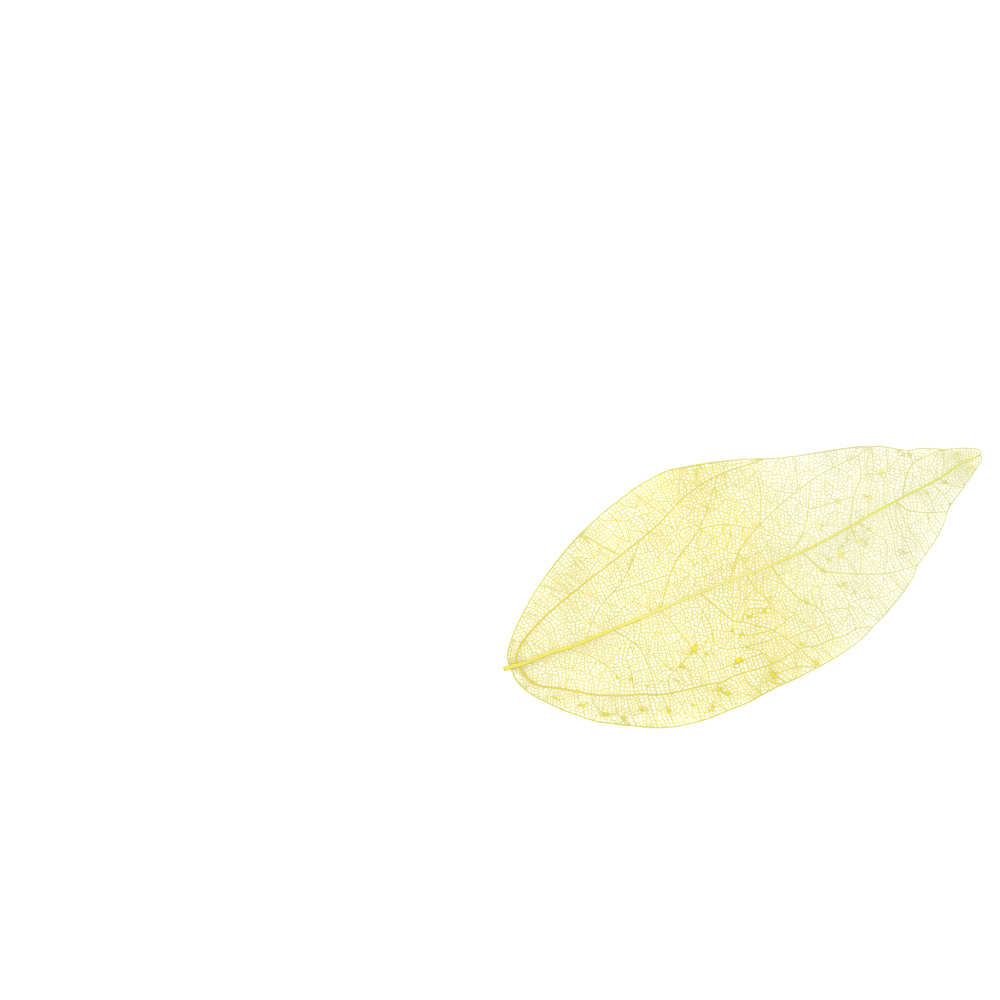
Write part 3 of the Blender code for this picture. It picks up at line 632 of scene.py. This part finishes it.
# Turns the cells into holes, each with a rim of faces round it as wide as its veins ask
def openCells(bm, layers):
    for vert in bm.verts:
        near = nearCrumb(vert.co)
        vert[layers["swell"]] = (1 + (crumbPlan["swell"] - 1) * near) * fullness(vert.co.x)
        coarsest = kindNames[max(edge[layers["kind"]] for edge in vert.link_edges)]
        nearTip = smoothStep((vert.co.x - netPlan["tintFrom"]) / netPlan["tintRun"])
        tint = veinKinds[coarsest].get("tint", netPlan["tipTint"] * nearTip)
        vert[layers["tissue"]] = min(1.0, max(crumbPlan["tint"] * near, tint))
    rims = {}
    for face in bm.faces:
        if nearCrumb(face.calc_center_median()) > crumbPlan["closes"]:
            for vert in face.verts:
                vert[layers["tissue"]] = 1.0
            continue
        rim = rimPlaces(face, layers, 1.0) or rimPlaces(face, layers, netPlan["slimmest"])
        if rim:
            rims[face] = rim
    cells = list(rims)
    print(len(cells), "cells open,", len(bm.faces) - len(cells), "closed")
    starts = [face.loops[0].vert.co.copy() for face in cells]
    bmesh.ops.inset_individual(bm, faces=cells, thickness=0.001)  # only makes the faces of the rims
    for face, rim, start in zip(cells, rims.values(), starts):
        verts = [loop.vert for loop in face.loops]
        first = min(range(len(verts)), key=lambda i: (verts[i].co - start).length)
        for vert, place in zip(verts[first:] + verts[:first], rim):
            vert.co = place
            vert[layers["rise"]] = 0.0
    bmesh.ops.delete(bm, geom=cells, context="FACES_ONLY")


# A row of faces outside the margin's centre line
def addOuterRim(bm, layers):
    rise = layers["rise"]
    outer = [e for e in bm.edges if e.is_boundary and min(vert[rise] for vert in e.verts) > 0]
    ways = {}
    for edge in outer:
        loop = edge.link_loops[0]
        for vert in edge.verts:
            ways.setdefault(vert, []).append(-leftOf(loop.vert, loop.link_loop_next.vert))
    made = bmesh.ops.extrude_edge_only(bm, edges=outer)["geom"]
    for vert in [v for v in made if isinstance(v, bmesh.types.BMVert)]:
        source = next(e.other_vert(vert) for e in vert.link_edges if e.other_vert(vert) in ways)
        mean = (ways[source][0] + ways[source][1]).normalized()
        width = veinKinds["margin"]["width"] / 2
        vert.co = source.co + mean * width / max(mean.dot(ways[source][0]), netPlan["outerMitre"])
        vert[rise] = 0.0


# Centre lines of the traced veins after the net has been evened out, by vein number
def veinPaths(bm, layers):
    edges = {}
    for edge in bm.edges:
        if edge[layers["vein"]]:
            edges.setdefault(edge[layers["vein"]], []).append(edge)
    paths = {}
    for number, own in edges.items():
        links = {}
        for edge in own:
            for vert in edge.verts:
                links.setdefault(vert, []).append(edge)
        ends = [vert for vert, at in links.items() if len(at) == 1]
        start = min(ends or links, key=lambda vert: vert.co.x)
        vert, path, used = start, [start.co.copy()], set()
        while True:
            onward = [edge for edge in links[vert] if edge not in used]
            if not onward:
                break
            used.add(onward[0])
            vert = onward[0].other_vert(vert)
            path.append(vert.co.copy())
        paths[number] = path
    return paths


# Makes a bmesh in mm of the leaf a smooth piece in the frame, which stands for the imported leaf
def finishPiece(name, bm, material):
    for vert in bm.verts:
        vert.co = inFrame(*vert.co)
    bmesh.ops.recalc_face_normals(bm, faces=bm.faces)
    for face in bm.faces:
        face.smooth = True
    mesh = bpy.data.meshes.new(name)
    bm.to_mesh(mesh)
    bm.free()
    mesh.materials.append(material)
    piece = bpy.data.objects.new(name, mesh)
    bpy.context.scene.collection.objects.link(piece)
    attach(piece, "root")
    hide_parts("skeleton_leaf")
    print(name, len(mesh.polygons), "faces")


tubePlan = {
    "roundness": 2,
    "taper": 0.8,  # below 1 they get thinner sooner
    "weld": 0.0005,
}


# A bmesh of tubes in the thickness of the resting leaf. Each path is its points and radii in mm
def tubes(paths, profile=None):
    curve = bpy.data.curves.new("tubes", "CURVE")
    curve.dimensions = "3D"
    curve.use_fill_caps = True
    if profile:
        curve.bevel_mode = "OBJECT"
        curve.bevel_object = profile
    else:
        curve.bevel_depth = 1.0
        curve.bevel_resolution = tubePlan["roundness"]
    for points, radii in paths:
        spline = curve.splines.new("POLY")
        spline.points.add(len(points) - 1)
        for knot, place, radius in zip(spline.points, points, radii):
            knot.co = (place.x, place.y, restingHeight(place.x, place.y), 1.0)
            knot.radius = radius
    holder = bpy.data.objects.new("tubes", curve)
    bpy.context.scene.collection.objects.link(holder)
    bpy.context.view_layer.update()
    finished = holder.evaluated_get(bpy.context.evaluated_depsgraph_get())
    mesh = bpy.data.meshes.new_from_object(finished)
    bpy.data.objects.remove(holder)
    bm = bmesh.new()
    bm.from_mesh(mesh)
    bmesh.ops.remove_doubles(bm, verts=bm.verts, dist=tubePlan["weld"])
    return bm


# Kinds of fibre. Their dye runs from golden at the leaf base over lemon to pale olive at the tip
fibreKinds = {
    "net": {
        "Base": (0.62, 0.565, 0.090, 1.0), "Middle": (0.635, 0.575, 0.038, 1.0),
        "Tip": (0.61, 0.59, 0.28, 1.0), "Blotch": 0.12, "stretch": (1.0, 1.0, 1.0), "bump": 0.3,
    },
    "margin": {
        "Base": (0.48, 0.465, 0.06, 1.0), "Middle": (0.50, 0.46, 0.07, 1.0),
        "Tip": (0.49, 0.49, 0.24, 1.0), "Blotch": 0.10, "stretch": (0.4, 0.4, 1.0), "bump": 0.4,
    },
    "vein": {
        "Base": (0.53, 0.445, 0.04, 1.0), "Middle": (0.53, 0.475, 0.035, 1.0),
        "Tip": (0.51, 0.51, 0.14, 1.0), "Blotch": 0.10, "stretch": (0.4, 0.4, 1.0), "bump": 0.4,
    },
    "rib": {
        "Base": (0.59, 0.53, 0.085, 1.0), "Middle": (0.59, 0.565, 0.17, 1.0),
        "Tip": (0.53, 0.52, 0.105, 1.0), "Blotch": 0.08, "stretch": (0.06, 1.0, 1.0), "bump": 0.6,
    },
}

dyePlan = {
    "fades": [("Middle", -0.034, -0.004), ("Tip", -0.004, 0.018)],  # next colour, from x to x in m
    "clouds": [(140.0, -0.5, 0.5), (1900.0, -0.5, 0.2)],  # scale, least and most change
    "cloudDetail": 3.0,
    "cloudLow": 0.3,
    "cloudHigh": 0.7,
    "tissue": (0.93, 0.915, 0.70, 1.0),  # leftover tissue and coarser bars are darker by this
    "specular": 0.3,
}

grainPlan = {
    "scale": 9000.0,
    "detail": 4.0,
    "leastRough": 0.52,
    "mostRough": 0.78,
    "depth": 0.03 * mm,
}


def addSockets(group, inOut, sockets):
    for name, kind in sockets:
        group.interface.new_socket(name=name, in_out=inOut, socket_type="NodeSocket" + kind)


def setInputs(node, values):
    for name, value in values.items():
        node.inputs[name].default_value = value


# Colour of dyed fibre: fades along the leaf, with soft blotches and fine flecks
def makeDyeGroup():
    group = bpy.data.node_groups.new("dyeFade", "ShaderNodeTree")
    addSockets(group, "INPUT", [(name, "Color") for name in ("Base", "Middle", "Tip")])
    addSockets(group, "INPUT", [("Blotch", "Float")])
    addSockets(group, "OUTPUT", [("Color", "Color")])
    nodes, links = group.nodes, group.links
    given, out = nodes.new("NodeGroupInput"), nodes.new("NodeGroupOutput")
    place = nodes.new("ShaderNodeTexCoord")
    split = nodes.new("ShaderNodeSeparateXYZ")
    links.new(place.outputs["Object"], split.inputs[0])
    last = given.outputs["Base"]
    for name, start, end in dyePlan["fades"]:
        fade = nodes.new("ShaderNodeMapRange")
        fade.interpolation_type = "SMOOTHSTEP"
        setInputs(fade, {"From Min": start, "From Max": end})
        links.new(split.outputs["X"], fade.inputs["Value"])
        mix = nodes.new("ShaderNodeMix")
        mix.data_type = "RGBA"
        links.new(fade.outputs["Result"], mix.inputs["Factor"])
        links.new(last, mix.inputs["A"])
        links.new(given.outputs[name], mix.inputs["B"])
        last = mix.outputs["Result"]
    for scale, least, most in dyePlan["clouds"]:
        cloud = nodes.new("ShaderNodeTexNoise")
        setInputs(cloud, {"Scale": scale, "Detail": dyePlan["cloudDetail"]})
        links.new(place.outputs["Object"], cloud.inputs["Vector"])
        spread = nodes.new("ShaderNodeMapRange")
        setInputs(spread, {"From Min": dyePlan["cloudLow"], "From Max": dyePlan["cloudHigh"],
                           "To Min": least, "To Max": most})
        links.new(cloud.outputs["Fac"], spread.inputs["Value"])
        amount = nodes.new("ShaderNodeMath")
        amount.operation = "MULTIPLY_ADD"
        links.new(spread.outputs["Result"], amount.inputs[0])
        links.new(given.outputs["Blotch"], amount.inputs[1])
        amount.inputs[2].default_value = 1.0
        tint = nodes.new("ShaderNodeHueSaturation")
        links.new(amount.outputs[0], tint.inputs["Value"])
        links.new(last, tint.inputs["Color"])
        last = tint.outputs["Color"]
    links.new(last, out.inputs["Color"])
    return group


# Height and roughness of fine fibres, which are long where stretch is small
def makeGrainGroup():
    group = bpy.data.node_groups.new("fibreGrain", "ShaderNodeTree")
    addSockets(group, "INPUT", [("Stretch", "Vector"), ("Scale", "Float")])
    addSockets(group, "OUTPUT", [("Height", "Float"), ("Roughness", "Float")])
    nodes, links = group.nodes, group.links
    given, out = nodes.new("NodeGroupInput"), nodes.new("NodeGroupOutput")
    place = nodes.new("ShaderNodeTexCoord")
    stretch = nodes.new("ShaderNodeVectorMath")
    stretch.operation = "MULTIPLY"
    links.new(place.outputs["Object"], stretch.inputs[0])
    links.new(given.outputs["Stretch"], stretch.inputs[1])
    cloud = nodes.new("ShaderNodeTexNoise")
    setInputs(cloud, {"Detail": grainPlan["detail"]})
    links.new(stretch.outputs[0], cloud.inputs["Vector"])
    links.new(given.outputs["Scale"], cloud.inputs["Scale"])
    rough = nodes.new("ShaderNodeMapRange")
    setInputs(rough, {"To Min": grainPlan["leastRough"], "To Max": grainPlan["mostRough"]})
    links.new(cloud.outputs["Fac"], rough.inputs["Value"])
    links.new(cloud.outputs["Fac"], out.inputs["Height"])
    links.new(rough.outputs["Result"], out.inputs["Roughness"])
    return group


dyeGroup = makeDyeGroup()
grainGroup = makeGrainGroup()


def dyedFibre(kind):
    own = fibreKinds[kind]
    material = bpy.data.materials.new(kind + "Fibre")
    material.use_nodes = True
    nodes, links = material.node_tree.nodes, material.node_tree.links
    shader = nodes["Principled BSDF"]
    setInputs(shader, {"Specular IOR Level": dyePlan["specular"]})
    dye = nodes.new("ShaderNodeGroup")
    dye.node_tree = dyeGroup
    setInputs(dye, {name: own[name] for name in ("Base", "Middle", "Tip", "Blotch")})
    grain = nodes.new("ShaderNodeGroup")
    grain.node_tree = grainGroup
    setInputs(grain, {"Stretch": own["stretch"], "Scale": grainPlan["scale"]})
    relief = nodes.new("ShaderNodeBump")
    setInputs(relief, {"Strength": own["bump"], "Distance": grainPlan["depth"]})
    tissue = nodes.new("ShaderNodeAttribute")
    tissue.attribute_name = "tissue"
    darker = nodes.new("ShaderNodeMix")
    darker.data_type = "RGBA"
    darker.blend_type = "MULTIPLY"
    setInputs(darker, {"B": dyePlan["tissue"]})
    links.new(tissue.outputs["Fac"], darker.inputs["Factor"])
    links.new(dye.outputs["Color"], darker.inputs["A"])
    links.new(darker.outputs["Result"], shader.inputs["Base Color"])
    links.new(grain.outputs["Roughness"], shader.inputs["Roughness"])
    links.new(grain.outputs["Height"], relief.inputs["Height"])
    links.new(relief.outputs["Normal"], shader.inputs["Normal"])
    return material


fibres = {kind: dyedFibre(kind) for kind in fibreKinds}
print("materials made")

# The network of all veins on the flat leaf. Rise is the height of the bars above their middle,
# tissue the share of darker dye, and swell how much wider than usual the bars are
net = bmesh.new()
layers = {name: net.edges.layers.int.new(name) for name in ("kind", "vein")}
layers.update({name: net.verts.layers.float.new(name) for name in ("rise", "tissue", "swell")})
drawVeins(net, layers)
print("veins drawn,", len(net.faces), "fields")
splitCells(net, layers, random.Random(netPlan["seed"]))
relax(net, layers)
print("net drawn,", len(net.faces), "cells", len(net.edges), "bars")
paths = veinPaths(net, layers)

# Each crumb hangs on the nearest junction or bend of the net
draw = random.Random(crumbPlan["seed"])
crumbs = []
for x, y, reach in crumbPlan["places"]:
    turn = draw.uniform(0, math.pi)
    nearest = min(net.verts, key=lambda vert: math.hypot(vert.co.x - x, vert.co.y - y))
    way = Vector((math.cos(turn), math.sin(turn), 0.0))
    crumbs.append((nearest.co.copy(), reach * crumbPlan["size"], way))

# Fine net, as one closed body of ridged bars: a sheet above and one below, welded along their rims
for vert in net.verts:
    vert[layers["rise"]] = max(halfSize(edge, layers, "height") for edge in vert.link_edges)
openCells(net, layers)
addOuterRim(net, layers)
for vert in net.verts:
    vert.co.z = restingHeight(vert.co.x, vert.co.y)
tops = list(net.verts)
below = bmesh.ops.duplicate(net, geom=[*net.verts, *net.edges, *net.faces])
bmesh.ops.reverse_faces(net, faces=[g for g in below["geom"] if isinstance(g, bmesh.types.BMFace)])
rims = {}
for vert in tops:
    twin = below["vert_map"][vert]
    if vert[layers["rise"]] > 0:
        vert.co.z += vert[layers["rise"]]
        twin.co.z -= vert[layers["rise"]]
    else:
        rims[vert] = twin
bmesh.ops.weld_verts(net, targetmap=rims)
bmesh.ops.remove_doubles(net, verts=net.verts, dist=netPlan["weld"])
finishPiece("leaf_net", net, fibres["net"])

# Thick veins, as tapering tubes over their bars
tubePaths = {"margin_vein": [], "strong_veins": [], "side_veins": []}
for number, (kind, points) in enumerate([("margin", None), ("midrib", None), *tracedVeins], 1):
    if "tube" in veinKinds[kind] and number in paths:
        start, end = (size / 2 for size in veinKinds[kind]["tube"])
        path = paths[number]
        if points:
            root = Vector(points[0])
            if (path[0].xy - root).length > (path[-1].xy - root).length:
                path = path[::-1]
        shares = [(i / (len(path) - 1)) ** tubePlan["taper"] for i in range(len(path))]
        radii = [start + (end - start) * share for share in shares]
        name = {"margin": "margin_vein", "strong": "strong_veins"}.get(kind, "side_veins")
        tubePaths[name].append((path, radii))
for name, own in tubePaths.items():
    finishPiece(name, tubes(own), fibres["margin" if name == "margin_vein" else "vein"])

# Midrib with its root, as one grooved bundle of fibres
midribPlan = {
    "root": (-1.15, 0.15),  # its cut end
    "rootRadius": 0.40,
    # share of the leaf's length and radius there in mm
    "radii": [(0.0, 0.38), (0.12, 0.35), (0.5, 0.29), (0.8, 0.23), (0.95, 0.21), (1.0, 0.14)],
    "lobes": 7,
    "groove": 0.16,  # depth of the grooves between them, in radii
    "sides": 28,
    "step": 0.7,
}


def alongTable(table, share):
    for (a, low), (b, high) in zip(table, table[1:]):
        if share <= b:
            return low + (high - low) * (share - a) / (b - a)
    return table[-1][1]


def ribProfile():
    ring = bpy.data.curves.new("ribProfile", "CURVE")
    ring.dimensions = "2D"
    spline = ring.splines.new("POLY")
    sides = midribPlan["sides"]
    spline.points.add(sides - 1)
    spline.use_cyclic_u = True
    for i, knot in enumerate(spline.points):
        turn = 2 * math.pi * i / sides
        size = 1 - midribPlan["groove"] * (0.5 - 0.5 * math.cos(midribPlan["lobes"] * turn))
        knot.co = (size * math.cos(turn), size * math.sin(turn), 0.0, 1.0)
    holder = bpy.data.objects.new("ribProfile", ring)
    bpy.context.scene.collection.objects.link(holder)
    return holder


profile = ribProfile()
line = smoothPath([midribPlan["root"], *leafPlan["midrib"]], midribPlan["step"])
radii = []
for place in line:
    if place.x < 0:
        radii.append(midribPlan["rootRadius"])
    else:
        radii.append(alongTable(midribPlan["radii"], place.x / leafPlan["length"]))
rib = tubes([(line, radii)], profile)
bpy.data.objects.remove(profile)
finishPiece("midrib", rib, fibres["rib"])

# Floor, light and camera
studioPlan = {
    "floorReach": 3.0,  # m
    "floor": {"Base Color": (0.93, 0.93, 0.93, 1.0), "Roughness": 0.9, "Specular IOR Level": 0.1},
    "sky": {"Color": (1.0, 1.0, 1.0, 1.0), "Strength": 1.11},
    "lamps": [  # place in m, size in m, watts
        ((-0.5, 0.5, 1.1), 1.0, 7.5),
        ((0.7, -0.2, 1.0), 1.0, 4.5),
    ],
}
floorMesh = bmesh.new()
bmesh.ops.create_grid(floorMesh, x_segments=2, y_segments=2, size=studioPlan["floorReach"])
floorData = bpy.data.meshes.new("floor")
floorMesh.to_mesh(floorData)
floorMesh.free()
floor = bpy.data.objects.new("floor", floorData)
bpy.context.scene.collection.objects.link(floor)
paper = bpy.data.materials.new("palePaper")
paper.use_nodes = True
setInputs(paper.node_tree.nodes["Principled BSDF"], studioPlan["floor"])
floorData.materials.append(paper)
world = bpy.data.worlds.new("studio")
world.use_nodes = True
setInputs(world.node_tree.nodes["Background"], studioPlan["sky"])
bpy.context.scene.world = world
for i, (place, size, watts) in enumerate(studioPlan["lamps"]):
    light = bpy.data.lights.new("softbox" + str(i), "AREA")
    light.size = size
    light.energy = watts
    lamp = bpy.data.objects.new(light.name, light)
    lamp.location = place
    lamp.rotation_euler = (-Vector(place)).to_track_quat("-Z", "Y").to_euler()
    bpy.context.scene.collection.objects.link(lamp)
bpy.context.scene.view_settings.view_transform = "Standard"

cameraPlan = {
    "over": (9.70, 25.81),  # mm of the flat leaf, the place under the picture's middle
    "turn": -24.03,  # degrees
    "height": 1.2,  # m
    "width": 0.16483,  # m across the picture at the floor
    "sensor": 36.0,  # mm
    "nearest": 0.01,
}
lens = bpy.data.cameras.new("camera")
lens.sensor_width = cameraPlan["sensor"]
lens.lens = cameraPlan["sensor"] * cameraPlan["height"] / cameraPlan["width"]
lens.clip_start = cameraPlan["nearest"]
camera = bpy.data.objects.new("camera", lens)
camera.location = inFrame(*cameraPlan["over"], cameraPlan["height"] / mm)
camera.rotation_euler = (0.0, 0.0, math.radians(cameraPlan["turn"]))
bpy.context.scene.collection.objects.link(camera)
bpy.context.scene.camera = camera
print("studio made")
